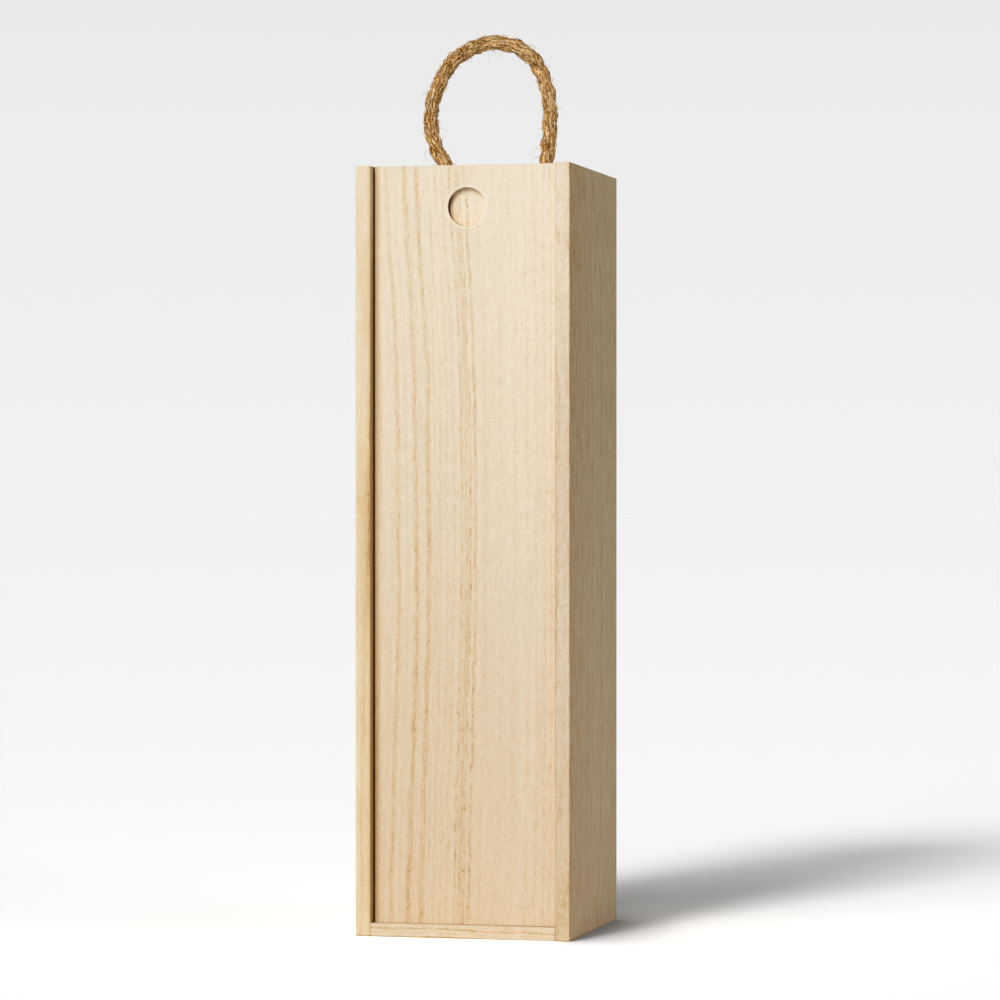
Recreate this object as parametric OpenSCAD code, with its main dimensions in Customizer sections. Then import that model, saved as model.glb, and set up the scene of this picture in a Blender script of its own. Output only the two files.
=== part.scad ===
// Wooden wine box for one bottle, with a sliding lid and a rope handle.
// The origin is the middle of the underside: X is the width, the lid faces -Y, Z is up.
// Millimetres.

/* [Box] */
// Width over the two side boards
box_w = 100; // [94:1:130]
// Depth from the front edges to the back
box_d = 100; // [94:1:130]
// Height of the boards
box_h = 350; // [330:1:420]

/* [Boards] */
// Thickness of the side boards
side_t = 7; // [6.5:0.5:9]
// Thickness of the top and bottom boards
end_t = 6; // [5:0.5:8]
// Thickness of the back panel
back_t = 5; // [4:0.5:6]
// How far the back panel laps over the edge of each side board
back_lap = 3.5; // [3:0.25:4]
// Width of the flat that sanding leaves on the long edges
ease = 0.5; // [0.2:0.1:0.8]

/* [Sliding lid] */
// Thickness of the lid
lid_t = 6.5; // [6:0.5:8]
// Depth of the lid's face behind the front edges of the box
lid_setback = 4.6; // [3:0.2:7]
// Thickness of the tongue along each long edge of the lid
tongue_t = 3.5; // [2.5:0.25:4]
// How far each tongue reaches into its groove
tongue_reach = 2.7; // [2:0.1:3.2]
// Play of the tongue in its groove, at each face and at its edge
groove_play = 0.3; // [0.2:0.05:0.5]
// Gap between the lid's shoulder and the lip of the side board
shoulder_gap = 0.8; // [0.4:0.1:1.2]
// Gap between the back of the lid and the top board
lid_back_gap = 0.4; // [0.3:0.1:1]

/* [Finger recess] */
// Diameter of the round recess that the finger pulls
recess_d = 17.5; // [14:0.5:24]
// Depth of the recess
recess_depth = 2.8; // [1.6:0.2:3.4]
// Distance of its centre below the upper end of the lid
recess_drop = 19; // [15:0.5:40]
// Distance of its centre from the middle of the lid
recess_shift = 1; // [0:0.5:3]

/* [Rope handle] */
// Diameter of the rope
rope_d = 6.5; // [5:0.5:8]
// Play of the rope in its hole, at each side
rope_play = 0.75; // [0.5:0.25:1.5]
// Distance between the two rope holes
hole_spacing = 48; // [44:1:56]
// Distance of the pair of holes from the middle of the top board
hole_shift = 2.5; // [0:0.5:4]
// Gap between the top board and the loop where it starts to swing
swing_gap = 0.35; // [0.3:0.05:0.6]
// Width of the knot under the top board
knot_w = 20; // [18:0.5:22]
// Height of the knot
knot_h = 13; // [11:0.5:14]
// Length of the cut end below the knot
rope_end = 8; // [5:1:12]

/* [Brads] */
// Diameter of a brad's shank
brad_d = 1.2; // [1:0.1:1.6]
// Length of a brad
brad_l = 15; // [12:1:20]
// Diameter of a brad's head
brad_head_d = 2; // [1.8:0.1:2.4]
// Thickness of a brad's head
brad_head_t = 0.4; // [0.3:0.1:0.6]
// Depth that a head is set below the back panel's face
brad_set = 0.3; // [0.2:0.1:0.5]
// Side play of a head in its dimple
brad_play = 0.05; // [0.05:0.05:0.1]
// Distance of the outer brads in an end board from the middle
brad_spread = 28; // [20:1:34]

/* [Hidden] */
$fn = 64;

// Margin by which a cut passes the face that it opens
past = 1;

front_y = -box_d / 2;
back_y = box_d / 2;
panel_y = back_y - back_t;
inner_w = box_w - 2 * side_t;

// The lid, from its face to its back, and its tongues flush with the back
lid_face_y = front_y + lid_setback;
lid_back_y = lid_face_y + lid_t;
tongue_y = lid_back_y - tongue_t;
lid_w = inner_w - 2 * shoulder_gap;
lid_h = box_h - end_t;

// The groove in each side board, measured from the board's front edge
groove_depth = tongue_reach + groove_play;
groove_front = tongue_y - groove_play - front_y;
groove_back = lid_back_y + groove_play - front_y;

// The top board and its two rope holes
top_front_y = lid_back_y + lid_back_gap;
hole_y = (top_front_y + panel_y) / 2;
hole_d = rope_d + 2 * rope_play;
hole_x = [hole_shift - hole_spacing / 2, hole_shift + hole_spacing / 2];

// The axis about which the loop swings, where the rope leaves the top board
swing_z = box_h + swing_gap + rope_d / 2;

// Centreline of the loop: distance from the middle of the two holes, and height above the top
// board. The first and last points stand over the holes, on the swing axis.
loop_rise = [
    [-27, 9], [-29, 14], [-30.5, 19], [-31, 25], [-30.5, 31], [-29, 37], [-26.5, 43],
    [-23.5, 48.5], [-19.5, 53], [-14.5, 56.5], [-8.5, 59], [-2, 60.3], [4.5, 59.8], [10, 58],
    [15, 55], [19, 50.8], [22, 45.5], [24.2, 39.5], [25.5, 33], [26, 26], [25.8, 19], [25.2, 11]
];
spread = hole_spacing / 48;
loop_path = concat(
    [[hole_x[0], hole_y, swing_z]],
    [for (p = loop_rise) [hole_shift + p[0] * spread, hole_y, box_h + p[1]]],
    [[hole_x[1], hole_y, swing_z]]
);

// Heights of the brads in the side boards, and of those in the end boards
side_brads_z = [for (k = [1 : 3]) box_h * k / 4];
end_brads_z = [end_t / 2, box_h - end_t / 2];
side_brad_x = inner_w / 2 + back_lap / 2;

// Every place of a brad, as [x, z]
brad_places = concat(
    [for (x = [-side_brad_x, side_brad_x], z = side_brads_z) [x, z]],
    [for (x = [-brad_spread, 0, brad_spread], z = end_brads_z) [x, z]]
);

// Point at the distance e from a corner, towards another point.
function towards(corner, other, e) = corner + e * (other - corner) / norm(other - corner);

// Outline whose corners are cut off by e where the third value of a point is 1.
function eased(points, e) = let (n = len(points), xy = [for (p = points) [p[0], p[1]]]) [
    for (i = [0 : n - 1]) each (
        points[i][2] == 1
            ? [towards(xy[i], xy[(i + n - 1) % n], e), towards(xy[i], xy[(i + 1) % n], e)]
            : [xy[i]]
    )
];

// Board with an outline in the Y-Z plane, w wide and centred on X.
module across(w, outline) {
    translate([-w / 2, 0, 0])
        rotate([90, 0, 90])
            linear_extrude(w)
                polygon(outline);
}

// Right-hand side board: the groove for the lid runs its whole length, and the rabbet at
// the back takes the panel.
module side_board() {
    translate([inner_w / 2, front_y, 0])
        linear_extrude(box_h)
            polygon(eased([
                [0, 0, 1],
                [side_t, 0, 1],
                [side_t, box_d, 1],
                [back_lap, box_d, 0],
                [back_lap, box_d - back_t, 0],
                [0, box_d - back_t, 0],
                [0, groove_back, 0],
                [groove_depth, groove_back, 0],
                [groove_depth, groove_front, 0],
                [0, groove_front, 0]
            ], ease));
}

module right_side() {
    color("burlywood") side_board();
}

module left_side() {
    color("burlywood") mirror([1, 0, 0]) side_board();
}

// Back panel in the rabbets of the sides and over the back edges of the end boards.
module back_panel() {
    panel_w = inner_w + 2 * back_lap;
    color("wheat") difference() {
        translate([-panel_w / 2, panel_y, 0])
            cube([panel_w, back_t, box_h]);
        for (p = brad_places)
            translate([p[0], back_y - brad_set - brad_head_t, p[1]])
                rotate([-90, 0, 0])
                    cylinder(d = brad_head_d + 2 * brad_play, h = brad_set + brad_head_t + past);
    }
}

// Bottom board between the sides: its front edge is the rail below the lid.
module bottom_board() {
    color("wheat") across(inner_w, eased([
        [front_y, 0, 1],
        [panel_y, 0, 0],
        [panel_y, end_t, 0],
        [front_y, end_t, 1]
    ], ease));
}

// Top board behind the lid, drilled for the rope, with the rims of the holes sanded.
module top_board() {
    color("wheat") difference() {
        across(inner_w, eased([
            [top_front_y, box_h - end_t, 0],
            [panel_y, box_h - end_t, 0],
            [panel_y, box_h, 0],
            [top_front_y, box_h, 1]
        ], ease));
        for (x = hole_x) {
            translate([x, hole_y, box_h - end_t - past])
                cylinder(d = hole_d, h = end_t + 2 * past);
            translate([x, hole_y, box_h - ease])
                cylinder(d1 = hole_d, d2 = hole_d + 2 * (ease + past), h = ease + past);
        }
    }
}

// Lid with a tongue along each long edge and the round recess for a finger.
module sliding_lid() {
    half = lid_w / 2;
    tip = inner_w / 2 + tongue_reach;
    color("blanchedalmond") difference() {
        translate([0, 0, end_t])
            linear_extrude(lid_h)
                polygon(eased([
                    [-half, lid_face_y, 1],
                    [half, lid_face_y, 1],
                    [half, tongue_y, 0],
                    [tip, tongue_y, 1],
                    [tip, lid_back_y, 1],
                    [-tip, lid_back_y, 1],
                    [-tip, tongue_y, 1],
                    [-half, tongue_y, 0]
                ], ease));
        translate([recess_shift, lid_face_y + recess_depth, box_h - recess_drop])
            rotate([90, 0, 0])
                cylinder(d = recess_d, h = recess_depth + past);
    }
}

// Direction of a path at point i, along the chord between its neighbours.
function along(path, i) =
    let (d = path[min(i + 1, len(path) - 1)] - path[max(i - 1, 0)]) d / norm(d);

// Ring of radius r round a point of a path that lies in the plane y = hole_y.
function ring(centre, direction, r, sides) =
    let (across_dir = cross(direction, [0, 1, 0])) [
        for (k = [0 : sides - 1])
            let (a = 360 * k / sides) centre + r * (cos(a) * across_dir + sin(a) * [0, 1, 0])
    ];

// Closed tube of diameter d along a path, with round ends centred on the path's ends.
module round_ended_tube(path, d, sides = 12, steps = 3) {
    last = len(path) - 1;
    first_dir = along(path, 0);
    last_dir = along(path, last);
    angles = [for (k = [1 : steps]) 90 * k / (steps + 1)];
    rings = concat(
        [for (k = [0 : steps - 1]) let (a = angles[k])
            ring(path[0] - cos(a) * d / 2 * first_dir, first_dir, sin(a) * d / 2, sides)],
        [for (i = [0 : last]) ring(path[i], along(path, i), d / 2, sides)],
        [for (k = [steps - 1 : -1 : 0]) let (a = angles[k])
            ring(path[last] + cos(a) * d / 2 * last_dir, last_dir, sin(a) * d / 2, sides)]
    );
    count = len(rings);
    points = concat([for (r = rings) each r],
        [path[0] - d / 2 * first_dir, path[last] + d / 2 * last_dir]);
    near = count * sides;
    far = near + 1;
    polyhedron(points, concat(
        [for (k = [0 : sides - 1]) [near, k, (k + 1) % sides]],
        [for (j = [0 : count - 2], k = [0 : sides - 1], half = [0, 1])
            let (a = j * sides + k, b = j * sides + (k + 1) % sides)
                half == 0 ? [a, a + sides, b] : [b, a + sides, b + sides]],
        [for (k = [0 : sides - 1])
            [far, (count - 1) * sides + (k + 1) % sides, (count - 1) * sides + k]]
    ));
}

// The loop of the handle above the box.
module rope_loop() {
    color("peru") round_ended_tube(loop_path, rope_d);
}

// The rope inside its hole, from the knot to the top board's upper face.
module rope_tail(x) {
    color("peru") translate([x, hole_y, box_h - end_t])
        cylinder(d = rope_d, h = end_t);
}

// Knot that stops the rope under the top board, with the cut end below it.
module rope_knot(x) {
    bulge = knot_h / 2;
    color("peru") translate([x, hole_y, box_h - end_t - bulge]) {
        rotate_extrude() {
            translate([knot_w / 2 - bulge, 0])
                intersection() {
                    circle(r = bulge);
                    translate([0, -bulge]) square([bulge, knot_h]);
                }
            translate([0, -bulge]) square([knot_w / 2 - bulge, knot_h]);
        }
        translate([0, 0, -bulge - rope_end])
            cylinder(d = rope_d, h = bulge + rope_end);
    }
}

module left_rope_tail() {
    rope_tail(hole_x[0]);
}

module right_rope_tail() {
    rope_tail(hole_x[1]);
}

module left_rope_knot() {
    rope_knot(hole_x[0]);
}

module right_rope_knot() {
    rope_knot(hole_x[1]);
}

// Brads driven through the back panel into the sides and the end boards.
module back_brads() {
    head_y = back_y - brad_set - brad_head_t;
    color("silver") for (p = brad_places)
        translate([p[0], head_y, p[1]]) {
            rotate([-90, 0, 0]) cylinder(d = brad_head_d, h = brad_head_t);
            rotate([90, 0, 0]) cylinder(d = brad_d, h = brad_l - brad_head_t);
        }
}

left_side();
right_side();
back_panel();
bottom_board();
top_board();
sliding_lid();
rope_loop();
left_rope_tail();
right_rope_tail();
left_rope_knot();
right_rope_knot();
back_brads();
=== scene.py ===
"""Looks of a wooden wine box: pale boards, a sliding lid and a twisted jute handle.

Lengths are in metres. The box stands on z = 0 with its lid facing -Y, and the origin is the
middle of its underside.
"""

import math

import bpy
import numpy as np
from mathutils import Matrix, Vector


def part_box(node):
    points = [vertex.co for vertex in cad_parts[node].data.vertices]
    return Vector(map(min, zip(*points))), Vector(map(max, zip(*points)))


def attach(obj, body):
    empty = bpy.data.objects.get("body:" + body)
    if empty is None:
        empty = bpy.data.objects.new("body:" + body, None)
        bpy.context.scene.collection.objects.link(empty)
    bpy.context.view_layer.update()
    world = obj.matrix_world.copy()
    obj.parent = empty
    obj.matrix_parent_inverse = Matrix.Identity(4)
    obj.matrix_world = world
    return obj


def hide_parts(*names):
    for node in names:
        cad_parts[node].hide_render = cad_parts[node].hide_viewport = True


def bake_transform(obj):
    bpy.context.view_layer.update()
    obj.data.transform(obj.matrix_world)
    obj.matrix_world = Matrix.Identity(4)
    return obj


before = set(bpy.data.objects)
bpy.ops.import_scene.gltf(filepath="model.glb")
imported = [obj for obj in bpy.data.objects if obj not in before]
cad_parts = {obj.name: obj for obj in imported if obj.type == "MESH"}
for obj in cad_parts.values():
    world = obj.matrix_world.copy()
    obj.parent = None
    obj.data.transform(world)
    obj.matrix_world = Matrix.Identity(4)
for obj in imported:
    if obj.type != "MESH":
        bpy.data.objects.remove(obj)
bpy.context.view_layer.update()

MM = 0.001

# Sizes of the boards, read from the frame
SIDE_LOW, SIDE_HIGH = (np.array(corner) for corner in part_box("right_side"))
PANEL_LOW, PANEL_HIGH = (np.array(corner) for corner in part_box("back_panel"))
RAIL_LOW, RAIL_HIGH = (np.array(corner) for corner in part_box("bottom_board"))
TOP_LOW, TOP_HIGH = (np.array(corner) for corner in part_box("top_board"))
LID_LOW, LID_HIGH = (np.array(corner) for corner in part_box("sliding_lid"))
KNOT_LOW, KNOT_HIGH = (np.array(corner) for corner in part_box("left_rope_knot"))

BOX_H = SIDE_HIGH[2]
FRONT_Y = SIDE_LOW[1]
INNER_X = SIDE_LOW[0]

# Sizes that the frame's boxes don't tell
GROOVE_PLAY = 0.3 * MM
TONGUE_T = 3.5 * MM
SHOULDER_GAP = 0.8 * MM
RECESS_R = 8.75 * MM
RECESS_DEPTH = 2.8 * MM
RECESS_DROP = 19 * MM
RECESS_SHIFT = 1 * MM
HOLE_R = 4 * MM
ROPE_R = 3.25 * MM
EASE = 0.5 * MM
KNOT_HEIGHT = 13 * MM
KNOT_TURNS = 1.14
STRAND_R = 1.98 * MM
# Lengths in which a strand turns once round the rope, and a yarn once round its strand
ROPE_LAY = 29 * MM
YARN_LAY = 75 * MM
PATH_STEP = 0.5 * MM

# Places in mm, as the materials read them
HEIGHT = float(BOX_H / MM)
FRONT = float(FRONT_Y / MM)
INNER = float(INNER_X / MM)
OUTER = float(SIDE_HIGH[0] / MM)
LID_FACE = float(LID_LOW[1] / MM)

# The rope's route above the box, in mm: across from the middle of its holes, and up
LOOP_X = 2.5 * MM
LOOP = [(-24, 3.6), (-27, 9), (-29, 14), (-30.5, 19), (-31, 25), (-30.5, 31), (-29, 37), (-26.5, 43),
        (-23.5, 48.5), (-19.5, 53), (-14.5, 56.5), (-8.5, 59), (-2, 60.3), (4.5, 59.8), (10, 58),
        (15, 55), (19, 50.8), (22, 45.5), (24.2, 39.5), (25.5, 33), (26, 26), (25.8, 19),
        (25.2, 11), (24, 3.6)]
# Single fibres that stand out, each a curve of three points in the same measure
STRAYS = [[(-0.2, 57.0), (0.2, 55.0), (1.2, 53.2)], [(2.6, 56.8), (3.2, 54.5), (3.4, 52.0)],
          [(-6.5, 62.0), (-8.0, 63.0), (-8.8, 64.4)], [(14.0, 58.6), (18.5, 61.5), (19.3, 54.0)],
          [(16.3, 57.4), (17.5, 59.8), (18.8, 57.6)], [(-28.0, 21.0), (-25.5, 22.5), (-23.5, 19.5)],
          [(-31.0, 12.0), (-34.5, 10.5), (-33.5, 6.0)], [(22.4, 10.0), (17.5, 12.5), (18.0, 8.0)],
          [(22.0, 7.0), (18.5, 7.5), (17.2, 4.5)], [(-31.6, 37.5), (-34.0, 38.5), (-35.2, 37.2)],
          [(-20.8, 2.0), (-19.0, 5.0), (-17.6, 6.6)], [(23.6, 46.6), (26.0, 47.5), (26.8, 50.6)]]
HOLE_X = (LOOP_X + LOOP[0][0] * MM, LOOP_X + LOOP[-1][0] * MM)
ROPE_Y = 3.25 * MM


# ------------ meshes

def shade(mesh, smooth_angle=35):
    """Smooth up to smooth_angle degrees, but flat on faces over 1 mm2 that lie along the axes."""
    count = len(mesh.polygons)
    normals, areas = np.empty(3 * count), np.empty(count)
    mesh.polygons.foreach_get("normal", normals)
    mesh.polygons.foreach_get("area", areas)
    level = (np.abs(normals.reshape(-1, 3)).max(1) > 0.9999) & (areas > MM ** 2)
    mesh.set_sharp_from_angle(angle=math.radians(smooth_angle))
    mesh.polygons.foreach_set("use_smooth", ~level)


def mesh_object(name, vertices, faces, smooth_angle=35):
    """Object from arrays of vertices and of faces, smooth up to smooth_angle degrees."""
    mesh = bpy.data.meshes.new(name)
    mesh.from_pydata(vertices.reshape(-1, 3).tolist(), [], faces)
    mesh.update()
    shade(mesh, smooth_angle)
    obj = bpy.data.objects.new(name, mesh)
    bpy.context.scene.collection.objects.link(obj)
    return obj


def grid_faces(rows, columns):
    """Quads of a grid of vertices that is stored row by row, each row a closed ring."""
    r, c = np.meshgrid(np.arange(rows - 1), np.arange(columns), indexing="ij")
    a = r * columns + c
    b = r * columns + (c + 1) % columns
    return np.stack([a, b, b + columns, a + columns], -1).reshape(-1, 4).tolist()


def wander(t, wavelength, seed):
    """Smooth wandering between about -1 and 1: 1.6 times the mean of five sines of random phase,
    whose wavelengths run from 0.4 to 2 times the one asked for."""
    draw = np.random.default_rng(seed)
    waves = wavelength * np.linspace(0.4, 2, 5)
    phases = draw.uniform(0, 2 * np.pi, 5)
    t = np.asarray(t, float)[..., None]
    return np.sin(2 * np.pi * t / waves + phases).mean(-1) * 1.6


EASE_STEPS = 4


def eased(points, radii):
    """Outline whose corners are rounded: each corner with a radius becomes a quadratic curve
    from one side to the other, with the corner as its middle control point. Returns the points
    and, for each, how much it belongs to an eased corner, from 0 to 1."""
    points = np.array(points, float)
    out, edge = [], []
    for i, (corner, r) in enumerate(zip(points, radii)):
        if r == 0:
            out.append(corner[None])
            edge.append(np.zeros(1))
            continue
        before = points[i - 1] - corner
        after = points[(i + 1) % len(points)] - corner
        start = corner + before / np.linalg.norm(before) * r
        end = corner + after / np.linalg.norm(after) * r
        t = np.linspace(0, 1, EASE_STEPS + 1)[:, None]
        out.append((1 - t) ** 2 * start + 2 * t * (1 - t) * corner + t ** 2 * end)
        edge.append(np.sin(np.pi * t[:, 0]))
    return np.concatenate(out), np.concatenate(edge)


BOARD_STEP = 3 * MM


def board(name, outline, edge, low, high, place, wear, seed, end_ease=0.25 * MM):
    """Board whose outline is carried from low to high. Near each end the outline shrinks along
    a quarter circle, and each of its eased corners is worn in by an amount that wanders along
    the board. place turns (u, v, w) into a point, where w runs along the board."""
    before, after = np.roll(outline, 1, 0), np.roll(outline, -1, 0)
    tangent = after - before
    tangent /= np.linalg.norm(tangent, axis=1)[:, None]
    inward = np.stack([-tangent[:, 1], tangent[:, 0]], -1)
    turn = np.linspace(0, np.pi / 2, 4)
    rows = max(2, round((high - low) / BOARD_STEP))
    middle = np.linspace(low + end_ease, high - end_ease, rows)
    near = end_ease * (1 - np.sin(turn))
    w = np.sort(np.concatenate([low + near, middle[1:-1], high - near]))
    shrink = np.zeros(len(w))
    for distance in (w - low, high - w):
        t = np.clip(1 - distance / end_ease, 0, 1)
        shrink += end_ease * (1 - np.sqrt(1 - t ** 2))
    corner = (np.arange(len(outline)) / (EASE_STEPS + 1)).round()
    worn = wear * edge * (0.5 + 0.5 * wander(w[:, None] + corner * 0.7, 9 * MM, seed))
    inset = shrink[:, None] + np.clip(worn, 0, None)
    flat = outline[None] + inward[None] * inset[..., None]
    points = np.concatenate([flat, np.broadcast_to(w[:, None, None], flat.shape[:2] + (1,))], -1)
    count = len(outline)
    faces = grid_faces(len(w), count)
    faces.append(list(range(count))[::-1])
    faces.append(list(range((len(w) - 1) * count, len(w) * count)))
    return mesh_object(name, place(points), faces)


def upright(points):
    """(u, v, w) as (x, y, z), for a board that stands."""
    return points


def crosswise(points):
    """(u, v, w) as (y, z, x), for a board that lies across."""
    return points[..., [2, 0, 1]]


# ------------ shader maths

class Value:
    """Number socket: + - * / and ** between values and numbers add the Math nodes."""

    def __init__(self, finish, socket):
        self.finish, self.socket = finish, socket

    def math(self, operation, *others):
        """This value under a Math node's operation, with others as its further inputs."""
        inputs = dict(enumerate((self,) + others))
        return self.finish.add("Math", {"operation": operation}, inputs)

    def __add__(self, other):
        return self.math("ADD", other)

    def __sub__(self, other):
        return self.math("SUBTRACT", other)

    def __rsub__(self, other):
        return self.finish.add("Math", {"operation": "SUBTRACT"}, {0: other, 1: self})

    def __mul__(self, other):
        return self.math("MULTIPLY", other)

    def __truediv__(self, other):
        return self.math("DIVIDE", other)

    def __pow__(self, other):
        return self.math("POWER", other)

    __radd__ = __add__
    __rmul__ = __mul__


class Finish:
    """Material or world under construction. add() makes any node and returns one of its
    outputs."""

    def __init__(self, owner):
        owner.use_nodes = True
        self.owner, self.tree = owner, owner.node_tree
        self.tree.nodes.clear()

    def add(self, kind, settings=None, sockets=None, out=0):
        """New node with its settings, where stops and ramp are those of its colour ramp, and
        with its sockets, each a value to link or a plain one. Returns its output out."""
        node = self.tree.nodes.new("ShaderNode" + kind)
        for key, value in (settings or {}).items():
            if key == "stops":
                self.set_stops(node.color_ramp, value)
            elif key == "ramp":
                node.color_ramp.interpolation = value
            else:
                setattr(node, key, value)
        for key, value in (sockets or {}).items():
            if isinstance(value, Value):
                self.tree.links.new(value.socket, node.inputs[key])
            else:
                node.inputs[key].default_value = value
        return Value(self, node.outputs[out]) if len(node.outputs) else None

    @staticmethod
    def set_stops(ramp, stops):
        """Gives a colour ramp its stops: (position, grey level or colour)."""
        while len(ramp.elements) < len(stops):
            ramp.elements.new(0.5)
        for element, (position, level) in zip(ramp.elements, stops):
            element.position = position
            element.color = level if hasattr(level, "__len__") else (level, level, level, 1)

    def axes(self):
        """Object coordinates in millimetres, as three values."""
        place = self.add("TexCoord", out=3)
        split = self.add("SeparateXYZ", sockets={0: place})
        outputs = split.socket.node.outputs
        return [Value(self, o) * 1000.0 for o in outputs]

    def vector(self, x, y, z):
        """Three values as one vector."""
        return self.add("CombineXYZ", sockets={0: x, 1: y, 2: z})

    def noise(self, vector, detail=2.0, roughness=0.5):
        """Noise between about 0 and 1, with cells one unit of the vector wide."""
        return self.add("TexNoise", {"noise_dimensions": "3D"},
                        {"Vector": vector, "Scale": 1.0, "Detail": detail, "Roughness": roughness})

    def smooth(self, value, low, high):
        """0 below low, 1 above high, and a smooth rise between."""
        return self.add("MapRange", {"interpolation_type": "SMOOTHSTEP"},
                        {"Value": value, "From Min": low, "From Max": high})

    def ramp(self, value, stops, kind="LINEAR"):
        """Grey or colour that changes with value through the stops."""
        return self.add("ValToRGB", {"stops": stops, "ramp": kind}, {0: value})

    def mix(self, factor, a, b, blend="MIX"):
        """Colour a, with b laid over it or multiplied into it by factor."""
        return self.add("Mix", {"data_type": "RGBA", "blend_type": blend},
                        {0: factor, 6: a, 7: b}, out=2)

    def surface(self, color, roughness, height, distance, strength, level):
        """Finished material: a height of 1 stands out by distance, shaded by strength, and level
        is that of the reflections."""
        relief = self.add("Bump", sockets={"Strength": strength, "Distance": distance,
                                           "Height": height})
        shader = {"Base Color": color, "Roughness": roughness, "Normal": relief,
                  "Specular IOR Level": level}
        return self.close("BsdfPrincipled", shader)

    def close(self, kind, sockets):
        """Ends the material with a shader of this kind and returns it."""
        self.add("OutputMaterial", sockets={0: self.add(kind, sockets=sockets)})
        return self.owner


# ------------ wood

# Colours of bare paulownia, from the palest fibres to the darkest pores, and of its deeper
# gold, which also colours painted shade in hollows and slots
PALE_STOPS = [(0.0, (0.885, 0.785, 0.63, 1)), (0.25, (0.80, 0.678, 0.508, 1)),
              (0.5, (0.735, 0.578, 0.393, 1)), (0.75, (0.67, 0.47, 0.268, 1)),
              (1.0, (0.57, 0.345, 0.15, 1))]
GOLD_STOPS = [(0.0, (0.84, 0.71, 0.485, 1)), (0.25, (0.80, 0.615, 0.36, 1)),
              (0.5, (0.74, 0.54, 0.295, 1)), (0.75, (0.665, 0.435, 0.205, 1)),
              (1.0, (0.52, 0.29, 0.10, 1))]
# Near-black wood for painted shade in the deepest corners, and a factor of painted warm light
PAINTED_SHADE_COLOUR = (0.13, 0.035, 0.0, 1)
WARM_LIGHT_FACTOR = (1.09, 1.035, 1.02, 1)

# Growth lines: place across the board in mm, half width in mm, stain, and how many dark pores
LID_LINES = [
    (-38.6, 1.3, 0.08, 0.2), (-34.0, 0.8, 0.04, 0.1), (-30.6, 1.8, 0.17, 0.5),
    (-26.6, 0.9, 0.05, 0.12), (-22.2, 2.2, 0.22, 0.65), (-19.6, 0.7, 0.06, 0.25),
    (-16.4, 2.1, 0.23, 0.72), (-13.2, 0.8, 0.05, 0.22), (-10.8, 1.2, 0.08, 0.32),
    (-7.6, 1.2, 0.04, 0.45), (-4.6, 1.3, 0.05, 0.50), (-1.0, 1.0, 0.14, 0.90),
    (1.5, 2.2, 0.18, 0.50), (3.1, 0.8, 0.08, 1.00), (5.4, 1.2, 0.18, 0.85),
    (10.0, 1.4, 0.04, 0.22), (17.0, 1.6, 0.02, 0.16), (23.5, 1.5, 0.03, 0.20),
    (29.5, 1.6, 0.03, 0.30), (33.8, 1.5, 0.05, 0.38), (37.6, 1.3, 0.05, 0.45),
    (40.6, 1.2, 0.05, 0.55),
]
RIGHT_LINES = [
    (-53.0, 0.9, 0.14, 0.5), (-50.8, 0.9, 0.05, 0.3), (-44.0, 2.4, 0.08, 0.4),
    (-36.0, 2.6, 0.04, 0.2), (-27.0, 2.8, 0.07, 0.3), (-12.0, 3.4, 0.08, 0.4),
    (-3.0, 2.2, 0.12, 0.5), (8.0, 3.0, 0.04, 0.3), (17.0, 2.4, 0.24, 0.6),
    (30.0, 3.4, 0.06, 0.3), (39.0, 2.6, 0.12, 0.4), (46.0, 2.6, 0.08, 0.4),
]
RAIL_LINES = [
    (0.1, 0.5, 0.4, 0.3), (1.9, 0.5, 0.1, 0.4), (3.7, 0.9, 0.24, 0.6), (5.1, 0.3, 0.1, 0.4),
    (8.4, 0.9, 0.3, 0.5), (11.0, 0.8, 0.2, 0.5), (14.6, 1.0, 0.4, 0.6),
]


def drawn_lines(lines, bend, tilt=0.0, face=0.0, strength=1.0):
    """Figure made of growth lines at given places, each fading over its half width. bend shifts
    them along the board, tilt times the depth under the face shifts them through its thickness,
    and two noises make them sway and ripple. The stain and pores come and go along a line."""
    def figure(f, across, deep, along):
        sway = f.noise(f.vector(across * 0.03, deep * 0.03, along * 0.03), 1.0) - 0.5
        ripple = f.noise(f.vector(across * 0.18, deep * 0.18, along * 0.15), 2.0, 0.6) - 0.5
        q = across + (deep - face) * tilt + bend(f, across, along)
        q = q + sway * 1.92 + ripple * 1.68
        stain, pores = 0.0, 0.0
        for place, spread, dark, many in lines:
            line = f.smooth((q - place).math("ABSOLUTE"), spread, 0.0)
            stain = line * dark + stain
            pores = line * many + pores
        life = f.noise(f.vector(q * 0.4, 0.0, along * 0.022), 1.0)
        breaks = f.noise(f.vector(q * 0.7, 0.0, along * 0.09), 2.0, 0.6)
        life = (f.smooth(life, 0.25, 0.62) * 0.6 + f.smooth(breaks, 0.3, 0.62) * 0.7 + 0.1) * strength
        return stain * life, pores * life
    return figure


def rings(spacing, pith, lean, strength=1.0):
    """Figure made of circles about a pith that leans as it runs along the board: the radius over
    the spacing passes through a ramp once for each ring. Faces along the board show lines or
    arches, and its ends show arcs."""
    def figure(f, across, deep, along):
        sway = f.noise(f.vector(across * 0.03, deep * 0.03, along * 0.012), 2.0) - 0.5
        u = across - pith[0] - along * lean + sway * 9.0
        v = deep - pith[1]
        radius = (u * u + v * v).math("SQRT")
        uneven = f.noise(f.vector(radius * 0.12, 3.0, 0.0), 1.0)
        phase = (radius / spacing + uneven * 3.0).math("FRACT")
        line = f.ramp(phase, [(0.0, 0.9), (0.07, 0.5), (0.2, 0.12), (0.6, 0.0), (0.88, 0.1),
                              (1.0, 0.9)])
        life = f.noise(f.vector(radius * 0.09, 7.0, along * 0.008), 1.0)
        line = line * (f.smooth(life, 0.35, 0.65) * 0.8 + 0.2) * strength
        return line * 0.34, line * 0.7
    return figure


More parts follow.
